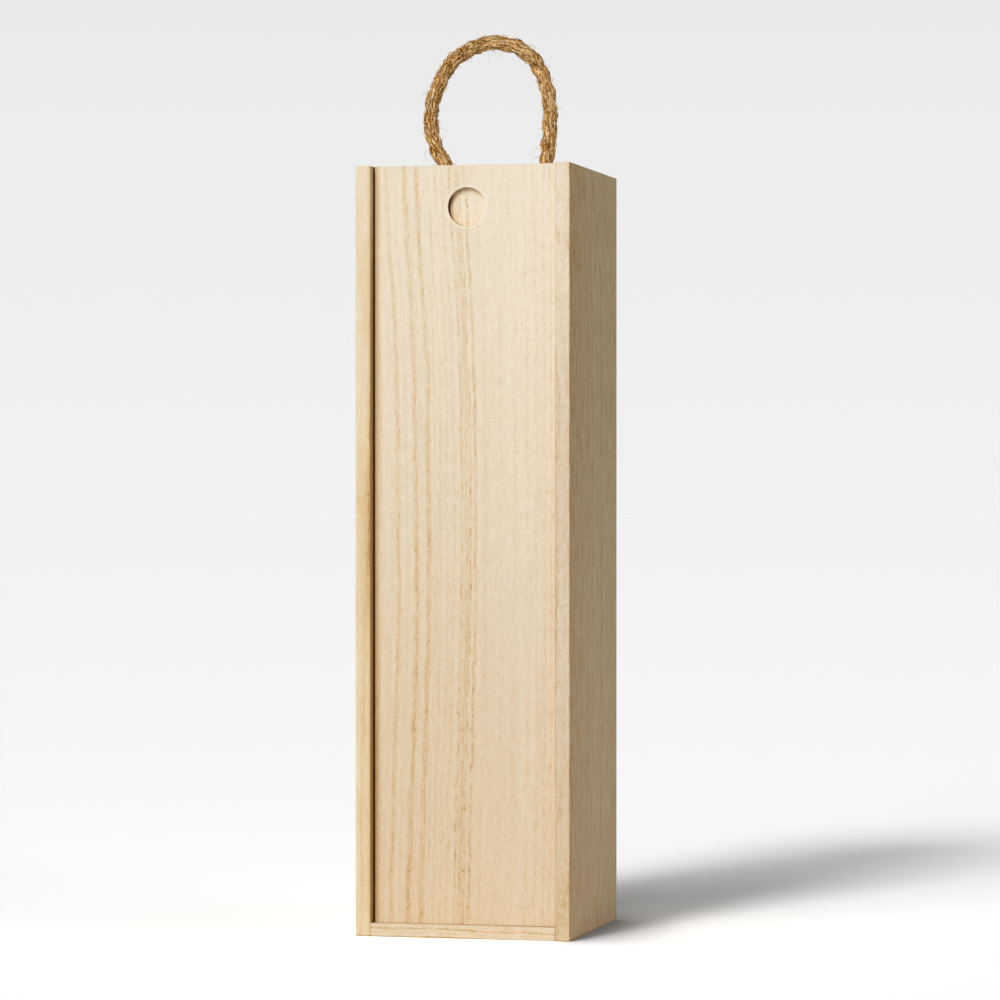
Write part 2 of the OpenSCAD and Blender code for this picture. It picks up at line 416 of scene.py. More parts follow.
def wood(name, order, figure, tone=None, *, seed, stain, gold=0.3, grain=1.0):
    """Bare sanded paulownia. order names the axes across, through and along the board. Over its
    tone lie wide streaks, faint rubbing marks across the board, the growth lines of the figure,
    dashes and specks of open pores that crowd in those lines, and short fibres, which also make
    the relief. tone adds stain, gold, painted shade and painted warm light by place, and grain
    scales the short fibres."""
    f = Finish(bpy.data.materials.new(name))
    axes = dict(zip("xyz", f.axes()))
    across, deep, along = (axes[letter] for letter in order)
    lines, crowd = figure(f, across, deep, along)
    moved = along + seed * 211.0
    dashes = f.noise(f.vector(across * 1.5, deep * 1.5, moved * 0.28), 1.0)
    specks = f.noise(f.vector(across * 1.7, deep * 1.7, moved * 0.9), 1.0)
    fibre = f.noise(f.vector(across * 1.35, deep * 1.35, moved * 0.20), 1.0)
    speckle = f.noise(f.vector(across * 1.45, deep * 1.45, moved * 1.1), 3.0, 0.75)
    mottle = f.noise(f.vector(across * 0.5, deep * 0.5, moved * 0.32), 2.0)
    streak = f.noise(f.vector(across * 0.35, deep * 0.35, moved * 0.012), 2.0, 0.6)
    rubbed = f.noise(f.vector(across * 0.14, deep * 0.14, moved + across * 0.3), 1.0)
    grit = f.noise(f.vector(across * 2.6, deep * 2.6, moved * 1.9), 0.0)
    open_pores = f.smooth(dashes, 0.52, 0.66) * 0.6 + f.smooth(specks, 0.53, 0.68) * 0.8
    open_pores = open_pores * (crowd + 0.06)
    short = ((fibre - 0.5) * 0.36 + (speckle - 0.5) * 0.52) * (crowd + 0.8) * grain
    wide = (streak - 0.5) * 0.22 + (mottle - 0.5) * 0.17 + (rubbed - 0.5) * 0.09
    level = lines + open_pores * 0.39 + short + wide + (grit - 0.5) * 0.34 + stain
    deeper = open_pores * 1.3 + lines * 1.8 + gold
    painted_shade = warm_light = 0.0
    if tone:
        more, golden, painted_shade, warm_light = tone(f, axes["x"], axes["y"], axes["z"])
        level = level + more
        deeper = golden + deeper
    color = f.mix(deeper, f.ramp(level, PALE_STOPS), f.ramp(level, GOLD_STOPS))
    # Painted warm light: multiplies the colour by a warm factor where tone asks for it
    color = f.mix(warm_light, color, WARM_LIGHT_FACTOR, "MULTIPLY")
    # Painted shade: mixes the colour towards near-black wood
    color = f.mix(painted_shade, color, PAINTED_SHADE_COLOUR)
    rough = 0.55 + speckle * 0.14 + open_pores * 0.12 + painted_shade * 0.5
    height = fibre * 0.5 + speckle * 0.5 - open_pores * 0.9 + (specks - 0.5) * crowd * 1.2
    return f.surface(color, rough, height, 0.12 * MM, 0.8 * grain, 0.25)


def lid_bend(f, across, along):
    """The lid's lines bulge to the right at mid-height, the more the further left they lie."""
    shift = f.ramp(along / HEIGHT, [(0.0, 0.64), (0.11, 0.48), (0.28, 0.24), (0.42, 0.03),
                                    (0.56, 0.02), (0.73, 0.12), (0.82, 0.36), (0.90, 0.60),
                                    (1.0, 0.92)], "B_SPLINE")
    share = 0.9 - f.smooth(across, -10.0, 42.0) * 0.75
    return shift * share * 8.0


def recess_tone(f, x, z, below):
    """Stain, gold and painted shade in and about the finger recess. Its wall is darkened by painted
    shade, most of all on the left, its rim is paler with pale torn fibres and a painted highlight,
    and its bed is painted paler, with a golden painted shadow along its border and a chip at its
    upper left."""
    across, up = x - RECESS_SHIFT / MM, z - (BOX_H - RECESS_DROP) / MM
    out = (across * across + up * up).math("SQRT") - RECESS_R / MM
    sunk = f.smooth(below, 0.1, 0.5) * f.smooth(below, 4.6, 4.2)
    # wall and aside: painted shade on the recess wall, deepest on the left
    wall = f.smooth(out, -0.3, -0.05) * f.smooth(out, 1.0, 0.6) * sunk
    aside = f.smooth(across + (up - 1.0).math("ABSOLUTE") * 0.45, -3.0, -7.5)
    # bed: the recess floor painted paler; near: a golden painted shadow along its wall
    bed = f.smooth(out, -0.1, -0.3) * sunk
    near = f.smooth(out, -3.4, -0.2) * bed
    # lip: a pale ring round the rim, of torn fibres and a painted highlight
    lip = f.smooth((out - 0.75).math("ABSOLUTE"), 0.6, 0.1) * f.smooth(below, 0.5, 0.1)
    chip = f.smooth((across + 5.3).math("ABSOLUTE") + (up - 7.4).math("ABSOLUTE"), 1.0, 0.4)
    stain = wall * (aside * 0.3 + 0.2) + near * aside * 0.35 + chip * 0.3 - lip * 0.35 - bed * 0.12
    gold = wall * 1.5 + near * f.smooth(up - across, -3.0, 4.0) + bed * 0.15 + chip
    # The third value is painted shade.
    return stain, gold, wall * (aside * 0.85 + 0.15)


def lid_tone(f, x, y, z):
    """Paler towards the top: painted light, as from a lamp that falls off downwards. Golden and
    darker along the shoulder beside the left groove: a painted shadow of the left lip. Painted
    shade deep in the slot between the shoulder and the lip. The recess has painted shade and
    light of its own."""
    # Painted light: the stain falls off towards the top, so the lid is paler there
    rise = f.ramp(z / HEIGHT, [(0.0, 0.44), (0.3, 0.33), (0.5, 0.21), (0.75, 0.07), (1.0, 0.0)],
                  "B_SPLINE")
    left, below = x + INNER, y - LID_FACE
    rough = f.noise(f.vector(x * 0.9, 0.0, z * 0.35), 3.0, 0.6)
    # edge: a painted shadow of the left lip on the lid, golden and ragged by noise
    edge = f.smooth(left + (rough - 0.5) * 2.4, 4.6, 0.4) * (f.smooth(below, 1.4, 0.2) * 0.6 + 0.4)
    edge = edge * f.smooth(below, 3.8, 3.1)
    # slot: painted shade in the slot between the shoulder and the lip
    slot = f.smooth(left, 0.7, 0.4) * f.smooth(left, -0.8, -0.3) * f.smooth(below, 3.3, 3.05)
    right = f.smooth(x, 8.0, 30.0)
    stain, gold, painted_shade = recess_tone(f, x, z, below)
    stain = stain + rise + edge * (rough * 0.45 + 0.2) - right * 0.06 + slot * 0.9
    # The third value is painted shade.
    return stain, gold + edge + slot, edge * 0.1 + slot * 0.3 + painted_shade, 0.0


def right_bend(f, across, along):
    """The lines of the right side swing forwards near its top and a little near its foot."""
    return f.ramp(along / HEIGHT, [(0.0, 0.42), (0.1, 0.16), (0.22, 0.0), (0.72, 0.0),
                                   (0.84, 0.06), (0.91, 0.28), (1.0, 1.0)], "B_SPLINE") * 26.0


def lips(f, into, deep):
    """Masks of the lips before the grooves: their walls towards the lid, which carry painted
    shade, and that front arris.
    into is the distance under the side board's inner face, and deep that behind its front."""
    wall = f.smooth(into, 2.0, 0.1) * f.smooth(deep, 13.0, 11.5) * f.smooth(deep, 0.05, 0.7)
    arris = f.smooth(into, 0.7, 0.1) * f.smooth(deep, 0.8, 0.3)
    return wall, arris


def right_tone(f, x, y, z):
    """The outer face is honey-coloured with streaks, and painted warm light makes it warmer towards
    its foot. The front edge is pale and woolly, darker and greyer towards its foot with painted
    shade, and has thin dark arrises that are torn in places. The lip's wall carries painted shade,
    and the board's lowest millimetre a painted contact shadow."""
    out, deep = OUTER - x, y - FRONT
    outer = f.smooth(out, 0.7, 0.05)
    corner = f.smooth(out, 0.8, 0.25) * f.smooth(deep, 1.1, 0.4)
    # wall: painted shade on the lip's wall
    wall, arris = lips(f, x - INNER, deep)
    edge = f.smooth(deep, 1.0, 0.4)
    # front and low: the front edge darker towards its foot, painted shade; front also greys it
    front = edge * f.smooth(z, 340.0, 190.0)
    low = edge * f.smooth(z, 120.0, 20.0)
    fall = f.smooth(z, 10.0, 345.0)
    # foot: a painted contact shadow on the board's lowest millimetre
    foot = f.smooth(z, 0.9, 0.2)
    near = f.smooth(deep, 60.0, 2.0)
    fine = f.noise(f.vector(x * 0.3, y * 1.1, z * 0.06), 3.0, 0.65)
    grain = f.noise(f.vector(x * 0.3, y * 0.8, z * 0.3), 3.0, 0.85)
    wool = f.noise(f.vector(x * 1.3 + z * 0.5, y * 0.3, z * 0.9), 3.0, 0.75)
    torn = f.noise(f.vector(x * 0.4, y * 0.4, z * 0.12), 2.0)
    reach = f.smooth(z, 60.0, 90.0) * f.smooth(z, 190.0, 160.0) * 0.85 + 0.15
    stain = outer * (fall * 0.18 + near * 0.2 + 0.03 + (fine - 0.5) * 2.3 + (grain - 0.5) * 1.1)
    stain = stain + corner * 0.25 + front * 0.11 + low * 0.15 + wall * 0.33 + foot * 0.5
    stain = stain + edge * (wool - 0.5) * 0.9 + arris * f.smooth(torn, 0.46, 0.62) * reach * 0.32
    gold = outer + corner * 0.5 + low * 0.3 + wall + arris * 0.6
    # The third value is painted shade, the fourth painted warm light.
    return stain, gold, front * 0.10, outer * f.smooth(z, 250.0, 30.0)


def left_tone(f, x, y, z):
    """Clouds of a deeper tone down the front edge: a wide one about its middle, and one near its
    top that ends below in a slanting line. The front edge is golden and darker towards the lip.
    The wall of the groove's lip is darkened by painted shade, deepest in the slot beside the lid,
    and the lowest millimetre by a painted contact shadow."""
    across, deep = x + OUTER, y - FRONT
    slanted = z + across
    high = f.smooth(slanted, 271.0, 277.0) * f.smooth(z, 320.0, 298.0) * 0.17
    cloud = f.ramp(z / HEIGHT, [(0.0, 0.13), (0.12, 0.17), (0.25, 0.10), (0.38, 0.09),
                                (0.48, 0.36), (0.57, 0.44), (0.63, 0.29), (0.69, -0.04),
                                (0.80, 0.0), (1.0, -0.1)], "B_SPLINE") + high
    slant = f.noise(f.vector(x * 0.10, y * 0.10, z * 0.03), 2.0)
    fine = f.noise(f.vector(x * 1.1, y * 1.1, z * 0.3 + x * 0.4), 3.0, 0.75)
    front = f.smooth(deep, 6.0, 1.0)
    cloud = cloud * (f.smooth(across + (slant - 0.5) * 6.0, -0.5, 7.0) + 0.05) * front
    # wall: painted shade on the lip's wall; slot: deeper painted shade beside the lid
    wall, arris = lips(f, across * -1.0 + (OUTER - INNER), deep)
    edge = f.smooth(across, 5.0, 6.8)
    slot = wall * f.smooth(deep, 4.4, 5.2)
    stain = cloud + wall * (f.smooth(z, 345.0, 250.0) * 0.45 + 0.25) + arris * 0.15 + edge * 0.12
    stain = stain + (slant - 0.5) * (front * 0.4 + 0.1) + (fine - 0.5) * 0.55
    # The lowest millimetre gets a painted contact shadow.
    stain = stain + f.smooth(z, 0.9, 0.2) * 0.6 + slot * 0.4
    # The third value is painted shade.
    return stain, cloud * 3.4 + wall + edge * 0.8, slot * 0.4, 0.0


def rail_bend(f, across, along):
    """The rail's lines fall a little to the right and waver."""
    return along * 0.010 + f.noise(f.vector(along * 0.05, 2.0, 0.0), 1.0) * 0.9 - 0.45


def jute():
    """Jute: fine fibres along the strands, from brown to straw, with painted shade between the yarns.
    """
    f = Finish(bpy.data.materials.new("jute"))
    fibre = f.add("Attribute", {"attribute_name": "fibre"}, out=1)
    split = f.add("SeparateXYZ", sockets={0: fibre})
    x, y, s = (Value(f, o) * 1000.0 for o in split.socket.node.outputs)
    depth = f.add("Attribute", {"attribute_name": "depth"}, out=2)
    tint = f.add("Attribute", {"attribute_name": "tint"}, out=2)
    clump = f.noise(f.vector(x * 0.9, y * 0.9, s * 0.25), 2.0, 0.6)
    hair = f.noise(f.vector(x * 3.4, y * 3.4, s * 0.35), 3.0, 0.6)
    fleck = f.noise(f.vector(x * 1.7, y * 1.7, s * 0.9), 2.0, 0.6)
    level = (clump - 0.5) * 1.3 + (hair - 0.5) * 1.1 + (fleck - 0.5) * 1.5
    # depth: painted shade in the crevices between yarns and strands
    level = level + tint * 0.6 + 0.25 - depth * 0.75
    color = f.ramp(level, [(0.0, (0.07, 0.012, 0.0, 1)), (0.26, (0.40, 0.165, 0.022, 1)),
                           (0.52, (0.75, 0.455, 0.16, 1)), (0.78, (0.90, 0.68, 0.375, 1)),
                           (1.0, (0.96, 0.84, 0.62, 1))])
    return f.surface(color, 0.8 - hair * 0.2, hair - depth, 0.2 * MM, 0.9, 0.12)


def steel():
    """Bright drawn steel with fine marks."""
    f = Finish(bpy.data.materials.new("brad_steel"))
    x, y, z = f.axes()
    marks = f.noise(f.vector(x * 4.0, y * 4.0, z * 4.0), 3.0)
    color = f.mix(marks, (0.42, 0.41, 0.39, 1), (0.62, 0.61, 0.59, 1))
    return f.close("BsdfPrincipled", {"Base Color": color, "Roughness": 0.28 + marks * 0.3,
                                      "Metallic": 1.0})


# ------------ boards

def side_outline():
    """Right-hand side board seen from above: groove for the lid, rabbet for the back panel."""
    t = SIDE_HIGH[0] - SIDE_LOW[0]
    depth = SIDE_HIGH[1] - SIDE_LOW[1]
    lap = PANEL_HIGH[0] - INNER_X
    panel = PANEL_HIGH[1] - PANEL_LOW[1]
    groove_deep = LID_HIGH[0] - INNER_X + GROOVE_PLAY
    groove_back = LID_HIGH[1] + GROOVE_PLAY - FRONT_Y
    groove_front = LID_HIGH[1] - TONGUE_T - GROOVE_PLAY - FRONT_Y
    corners = [
        (0, 0, EASE), (t, 0, EASE), (t, depth, EASE), (lap, depth, 0.2 * MM),
        (lap, depth - panel, 0), (0, depth - panel, 0.2 * MM), (0, groove_back, 0.2 * MM),
        (groove_deep, groove_back, 0), (groove_deep, groove_front, 0),
        (0, groove_front, 0.25 * MM),
    ]
    points = [(INNER_X + u, FRONT_Y + v) for u, v, r in corners]
    return points, [r for u, v, r in corners]


def mirrored(points, radii):
    """The same outline on the other side, still counter-clockwise."""
    return [(-u, v) for u, v in points[::-1]], radii[::-1]


def make_side(name, points, radii, seed):
    """Side board: its outline carried up the whole height."""
    return board(name, *eased(points, radii), 0, BOX_H, upright, 0.1 * MM, seed)


def make_lid():
    """Lid: an outline with a shoulder and a tongue at each edge carried up, less the recess."""
    half = INNER_X - SHOULDER_GAP
    tip = LID_HIGH[0]
    face, back = LID_LOW[1], LID_HIGH[1]
    tongue = back - TONGUE_T
    corners = [
        (-half, face, 0.35 * MM), (half, face, 0.35 * MM), (half, tongue, 0),
        (tip, tongue, 0.3 * MM), (tip, back, 0.3 * MM), (-tip, back, 0.3 * MM),
        (-tip, tongue, 0.3 * MM), (-half, tongue, 0),
    ]
    points, edge = eased([(u, v) for u, v, r in corners], [r for u, v, r in corners])
    lid = board("lid", points, edge, LID_LOW[2], LID_HIGH[2], upright, 0.1 * MM, 13)
    cut(lid, recess_cutter())
    return lid


def make_end_board(name, low, high, seed):
    """Board across the box between two corners of its own: a rectangle with eased corners,
    carried from left to right."""
    corners = [(low[1], low[2]), (high[1], low[2]), (high[1], high[2]), (low[1], high[2])]
    outline, edge = eased(corners, [0.45 * MM] * 4)
    return board(name, outline, edge, low[0], high[0], crosswise, 0.2 * MM, seed, 0.1 * MM)


def make_top_board():
    """Top board: an end board less the two rope holes."""
    piece = make_end_board("top_end_board", TOP_LOW, TOP_HIGH, 15)
    for x in HOLE_X:
        cut(piece, hole_cutter(x))
    return piece


def spun(name, radius, along, centre, axis, count=64):
    """Closed solid of revolution. radius and along are its profile, from one pole to the other;
    axis is the unit vector that along is measured in."""
    axis = np.array(axis, float)
    side = np.array([1.0, 0, 0])
    other = np.cross(axis, side)
    angle = np.linspace(0, 2 * np.pi, count, endpoint=False)
    ring = np.cos(angle)[:, None] * side + np.sin(angle)[:, None] * other
    rings = radius[1:-1, None, None] * ring + along[1:-1, None, None] * axis + centre
    poles = np.array([along[0] * axis, along[-1] * axis]) + centre
    rows = len(radius) - 2
    k = np.arange(count)
    near = np.stack([np.full(count, rows * count), (k + 1) % count, k], -1)
    far = np.stack([np.full(count, rows * count + 1), (rows - 1) * count + k,
                    (rows - 1) * count + (k + 1) % count], -1)
    vertices = np.concatenate([rings.reshape(-1, 3), poles])
    return mesh_object(name, vertices, grid_faces(rows, count) + near.tolist() + far.tolist())


def recess_cutter():
    """The room of the finger recess, spun about its middle: the dent of the drill's point, the
    flat floor with its scored edge, the wall and a rim that is a quarter circle."""
    rim = 0.3 * MM
    turn = np.linspace(0, np.pi / 2, 5)
    radius = np.concatenate([[0.0, 0.35 * MM, 0.9 * MM, RECESS_R - 0.5 * MM, RECESS_R - 0.1 * MM,
                              RECESS_R], RECESS_R + rim * (1 - np.cos(turn)), [RECESS_R + rim, 0.0]])
    depth = RECESS_DEPTH
    along = np.concatenate([[-depth - 0.4 * MM, -depth - 0.25 * MM, -depth, -depth,
                             -depth - 0.15 * MM, -depth], -rim * (1 - np.sin(turn)),
                            [1 * MM, 1 * MM]])
    centre = np.array([RECESS_SHIFT, LID_LOW[1], BOX_H - RECESS_DROP])
    return spun("recess_cutter", radius, along, centre, (0, -1, 0), 96)


def hole_cutter(x):
    """The room of a rope hole, with both rims rounded by a quarter circle."""
    rim = 0.5 * MM
    turn = np.linspace(0, np.pi / 2, 5)
    flare = HOLE_R + rim * (1 - np.sin(turn))
    half = (TOP_HIGH[2] - TOP_LOW[2]) / 2
    rise = half - rim * (1 - np.cos(turn))
    radius = np.concatenate([[0.0, flare[0]], flare, flare[::-1], [flare[0], 0.0]])
    along = np.concatenate([[-half - MM, -half - MM], -rise, rise[::-1], [half + MM, half + MM]])
    centre = np.array([x, ROPE_Y, TOP_HIGH[2] - half])
    return spun("hole_cutter", radius, along, centre, (0, 0, 1), 48)


def cut(obj, cutter):
    """Takes cutter out of obj and deletes it."""
    modifier = obj.modifiers.new("cut", "BOOLEAN")
    modifier.operation = "DIFFERENCE"
    modifier.solver = "EXACT"
    modifier.object = cutter
    graph = bpy.context.evaluated_depsgraph_get()
    graph.update()
    mesh = bpy.data.meshes.new_from_object(obj.evaluated_get(graph))
    obj.modifiers.clear()
    obj.data = mesh
    shade(mesh)
    bpy.data.objects.remove(cutter)


# ------------ rope

def smooth_path(points, step):
    """Points every step along a Catmull-Rom curve, whose stretches are cubics with half the
    chord between the neighbouring points as their end slopes. Returns points and lengths."""
    p = np.array(points, float)
    p = np.concatenate([[2 * p[0] - p[1]], p, [2 * p[-1] - p[-2]]])
    a, b, c, d = (q[:, None] for q in (p[:-3], p[1:-2], p[2:-1], p[3:]))
    t = np.linspace(0, 1, 40, endpoint=False)[None, :, None]
    curve = 0.5 * (2 * b + (c - a) * t + (2 * a - 5 * b + 4 * c - d) * t ** 2
                   + (3 * b - a - 3 * c + d) * t ** 3)
    curve = np.concatenate([curve.reshape(-1, 3), p[-2][None]])
    length = np.concatenate([[0], np.cumsum(np.linalg.norm(np.diff(curve, axis=0), axis=1))])
    s = np.linspace(0, length[-1], round(length[-1] / step) + 1)
    return np.stack([np.interp(s, length, curve[:, i]) for i in range(3)], -1), s


class Rope:
    """A laid rope along a path: three strands circle the centreline. across holds, for every
    point of the path, a direction that is never along it."""

    def __init__(self, path, s, across, seed):
        self.path, self.s, self.seed = path, s, seed
        self.tangent = np.gradient(path, axis=0)
        self.across = np.broadcast_to(np.array(across, float), path.shape)

    def at(self, values, s):
        """Values of the path's points, interpolated at lengths s."""
        return np.stack([np.interp(s, self.s, values[:, i]) for i in range(3)], -1)

    def surface(self, s, psi, strand, lift=0.0):
        """Points of a strand's surface at lengths s and at angles psi, measured across the rope.
        Yarns are ridges that run almost along the rope; the outline swells and shrinks. Returns
        the points, the outward direction, the rope's direction, and how deep each point lies
        between yarns or strands, from 0 to 1."""
        tangent = self.at(self.tangent, s)
        tangent /= np.linalg.norm(tangent, axis=-1)[..., None]
        inner = np.cross(self.at(self.across, s), tangent)
        inner /= np.linalg.norm(inner, axis=-1)[..., None]
        side = np.cross(tangent, inner)
        theta = 2 * np.pi * (s / ROPE_LAY + 0.10 * wander(s, 45 * MM, self.seed)) + self.seed
        theta = theta + strand * 2 * np.pi / 3
        outward = np.cos(psi)[..., None] * inner - np.sin(psi)[..., None] * side
        to_strand = np.cos(theta)[..., None] * inner - np.sin(theta)[..., None] * side
        yarn = psi + 2 * np.pi * s / YARN_LAY + 0.4 * wander(s, 14 * MM, self.seed + 1)
        ridge = np.abs(np.cos(3.5 * yarn + strand))
        fine = np.cos(15 * yarn + 3 * wander(s, 9 * MM, self.seed + 2) + strand)
        swell = wander(s + strand * 50 * MM, 11 * MM, self.seed + 3)
        facing = np.cos(psi - theta)
        radius = 0.93 + 0.05 * swell + 0.11 * ridge ** 0.7 + 0.02 * fine + 0.03 * facing
        radius = STRAND_R * radius
        depth = 0.8 * (1 - ridge ** 0.5) + 0.9 * np.clip(0.25 - facing, 0, 1)
        points = self.at(self.path, s) + (ROPE_R - STRAND_R) * to_strand
        points = points + (radius + lift)[..., None] * outward
        return points, outward, tangent, np.clip(depth, 0, 1)


def tube_faces(tubes, rows, count):
    """Faces of closed tubes, each a stack of rows rings of count points."""
    one = grid_faces(rows, count)
    shift = np.arange(tubes)[:, None, None] * rows * count
    faces = (np.array(one)[None] + shift).reshape(-1, 4).tolist()
    for cap in (np.arange(count)[::-1], (rows - 1) * count + np.arange(count)):
        faces += (cap[None] + shift[:, 0]).tolist()
    return faces


def attribute(obj, name, values, kind="FLOAT"):
    """Stores values at the vertices of obj."""
    layer = obj.data.attributes.new(name, kind, "POINT")
    key = "vector" if kind == "FLOAT_VECTOR" else "value"
    layer.data.foreach_set(key, np.ascontiguousarray(values, dtype=np.float32).ravel())


def strand_mesh(name, rope):
    """The three strands of a rope, each a tube whose points run round it 44 to a turn."""
    psi = np.linspace(0, -2 * np.pi, 44, endpoint=False)
    s, psi = np.meshgrid(rope.s, psi, indexing="ij")
    made = [rope.surface(s, psi, strand) for strand in range(3)]
    yarn = psi + 2 * np.pi * s / YARN_LAY
    places = [np.stack([STRAND_R * np.cos(yarn) + 7 * k * MM, STRAND_R * np.sin(yarn), s], -1)
              for k in range(3)]
    obj = mesh_object(name, np.stack([m[0] for m in made]), tube_faces(3, *s.shape), 80)
    attribute(obj, "fibre", np.stack(places), "FLOAT_VECTOR")
    # depth later darkens the colour as painted shade
    attribute(obj, "depth", np.stack([m[3] for m in made]))
    attribute(obj, "tint", np.full(s.size * 3, 0.5))
    return obj


def fibre_mesh(name, lines, radius, tint):
    """Fibres with four sides: lines holds the points of every fibre, radius its thickness at
    each point and tint one number for each fibre."""
    step = np.gradient(lines, axis=1)
    step /= np.linalg.norm(step, axis=-1)[..., None]
    helper = np.where(np.abs(step[..., 1:2]) > 0.8, [1.0, 0, 0], [0, 1.0, 0])
    first = np.cross(step, helper)
    first /= np.linalg.norm(first, axis=-1)[..., None]
    second = np.cross(step, first)
    angle = np.arange(4)[:, None] * np.pi / 2
    ring = np.cos(angle) * first[..., None, :] + np.sin(angle) * second[..., None, :]
    points = lines[..., None, :] + ring * radius[..., None, None]
    obj = mesh_object(name, points, tube_faces(*points.shape[:3]), 80)
    along = np.linspace(0, 6 * MM, lines.shape[1])[None, :, None]
    apart = 9 * MM * np.arange(len(lines))[:, None, None]
    place = np.broadcast_to(along + apart, points.shape[:3])
    attribute(obj, "fibre", np.stack([place * 0, place * 0, place], -1), "FLOAT_VECTOR")
    attribute(obj, "depth", np.zeros(place.shape))
    attribute(obj, "tint", np.broadcast_to(tint[:, None, None], place.shape))
    return obj


def joined(objects):
    """One object made of several."""
    with bpy.context.temp_override(active_object=objects[0], selected_editable_objects=objects):
        bpy.ops.object.join()
    return objects[0]


def make_knot(name, x, turn, seed):
    """Stopper knot under the top board. The rope runs straight down through its middle and ends
    cut off below. Round it goes one more turn of rope, a helix whose radius shrinks by a smooth
    step over the sixth of its length at each end, so that its ends tuck in to the middle."""
    high, low = KNOT_HIGH[2], KNOT_LOW[2]
    centre = np.array([x, ROPE_Y, 0])
    down = [(0, 0, high), (0, 0, (high + low) / 2), (0, 0, low + 2.5 * MM)]
    core = Rope(*smooth_path(centre + down, PATH_STEP), (0, 1, 0), seed)
    t = np.linspace(0, 1, 30)
    angle = turn + 2 * np.pi * KNOT_TURNS * t
    tuck = np.clip(np.minimum(t, 1 - t) / 0.16, 0, 1)
    tuck = tuck * tuck * (3 - 2 * tuck)
    reach = (KNOT_HIGH[0] - KNOT_LOW[0]) / 2 - ROPE_R - 0.4 * MM
    away = reach * (0.4 + 0.6 * tuck)
    rise = high - KNOT_HEIGHT + ROPE_R + (KNOT_HEIGHT - 2 * ROPE_R) * t
    turns = centre + np.stack([away * np.cos(angle), away * np.sin(angle), rise], -1)
    turns, s = smooth_path(turns, PATH_STEP)
    radial = (turns - centre) * [1, 1, 0]
    wrap = Rope(turns, s, radial / np.linalg.norm(radial, axis=1)[:, None], seed + 40)
    fibres = lying_fibres("wrap_fibres", wrap, 500, seed + 50, 2 * MM, 8 * MM)
    return joined([strand_mesh(name, core), strand_mesh("wrap", wrap), fibres,
                   frayed_end(core, 170, seed)])


def frayed_end(rope, count, seed):
    """Cut fibres at the end of a rope: they spread a little as they leave it."""
    draw = np.random.default_rng(seed)
    t = np.linspace(0, 1, 7)[None, :, None]
    s = np.full(count, rope.s[-1] - 1.5 * MM)
    psi = draw.uniform(0, 2 * np.pi, count)
    root, outward, tangent, depth = rope.surface(s, psi, draw.integers(0, 3, count))
    root = rope.path[-4] + (root - rope.path[-4]) * draw.uniform(0.05, 1, (count, 1)) ** 0.5
    way = tangent + outward * draw.uniform(-0.05, 0.45, (count, 1)) + draw.normal(0, 0.12, (count, 3))
    bend = draw.normal(0, 0.18, (count, 3))
    length = draw.uniform(2.2, 4.6, (count, 1, 1)) * MM
    lines = root[:, None] + length * (t * way[:, None] + t ** 2 * bend[:, None])
    radius = draw.uniform(0.07, 0.13, (count, 1)) * MM * (1 - 0.5 * t[..., 0])
    return fibre_mesh("frayed_end", lines, radius, draw.uniform(0.2, 1, count))


def lying_fibres(name, rope, count, seed, shortest, longest, thick=0.15 * MM, proud=0.09):
    """Fibres on the strands: each follows the yarns for some millimetres, drifts round the
    strand and bows away from it in its middle. proud is how far most of them do, in mm."""
    draw = np.random.default_rng(seed)
    t = np.linspace(0, 1, 8)
    length = draw.uniform(shortest, longest, (count, 1))
    s = draw.uniform(0, 1, (count, 1)) * (rope.s[-1] - length) + length * t
    drift = draw.normal(0, 0.5, (count, 1)) * (t - 0.5) * length / (4 * MM)
    psi = draw.uniform(0, 2 * np.pi, (count, 1)) - 2 * np.pi * s / YARN_LAY + drift
    lift = (0.02 + draw.gamma(1.6, proud, (count, 1)) * np.sin(np.pi * t)) * MM
    strand = draw.integers(0, 3, (count, 1)) + 0 * t
    lines = rope.surface(s, psi, strand, lift)[0]
    radius = draw.uniform(0.45, 1, (count, 1)) * thick * (0.3 + 0.7 * np.sin(np.pi * t) ** 0.5)
    return fibre_mesh(name, lines, radius, draw.uniform(-0.35, 1.15, count))


def flying_fibres(name, rope, count, seed, mean, thick):
    """Fibres that stand off the rope: each leaves it at a slant and curls as it goes. mean is
    about the length of most of them, and thick the radius of the thickest."""
    draw = np.random.default_rng(seed)
    t = np.linspace(0, 1, 6)[None, :, None]
    s = draw.uniform(0, rope.s[-1], count)
    psi = draw.uniform(0, 2 * np.pi, count)
    root, outward, tangent, depth = rope.surface(s, psi, draw.integers(0, 3, count))
    length = 0.3 * mean + draw.gamma(2.2, 0.32, count) * mean
    way = outward * draw.uniform(0.3, 1.1, (count, 1)) + tangent * draw.normal(0, 0.9, (count, 1))
    way += draw.normal(0, 0.35, (count, 3))
    way /= np.linalg.norm(way, axis=1)[:, None]
    curl = np.cross(way, draw.normal(0, 1, (count, 3)))
    curl *= draw.uniform(0.1, 0.75, (count, 1))
    lines = root[:, None] + length[:, None, None] * (t * way[:, None] + t ** 2 * curl[:, None])
    radius = draw.uniform(0.5, 1, (count, 1)) * thick * (1 - 0.6 * t[..., 0])
    return fibre_mesh(name, lines, radius, draw.uniform(-0.1, 0.9, count))


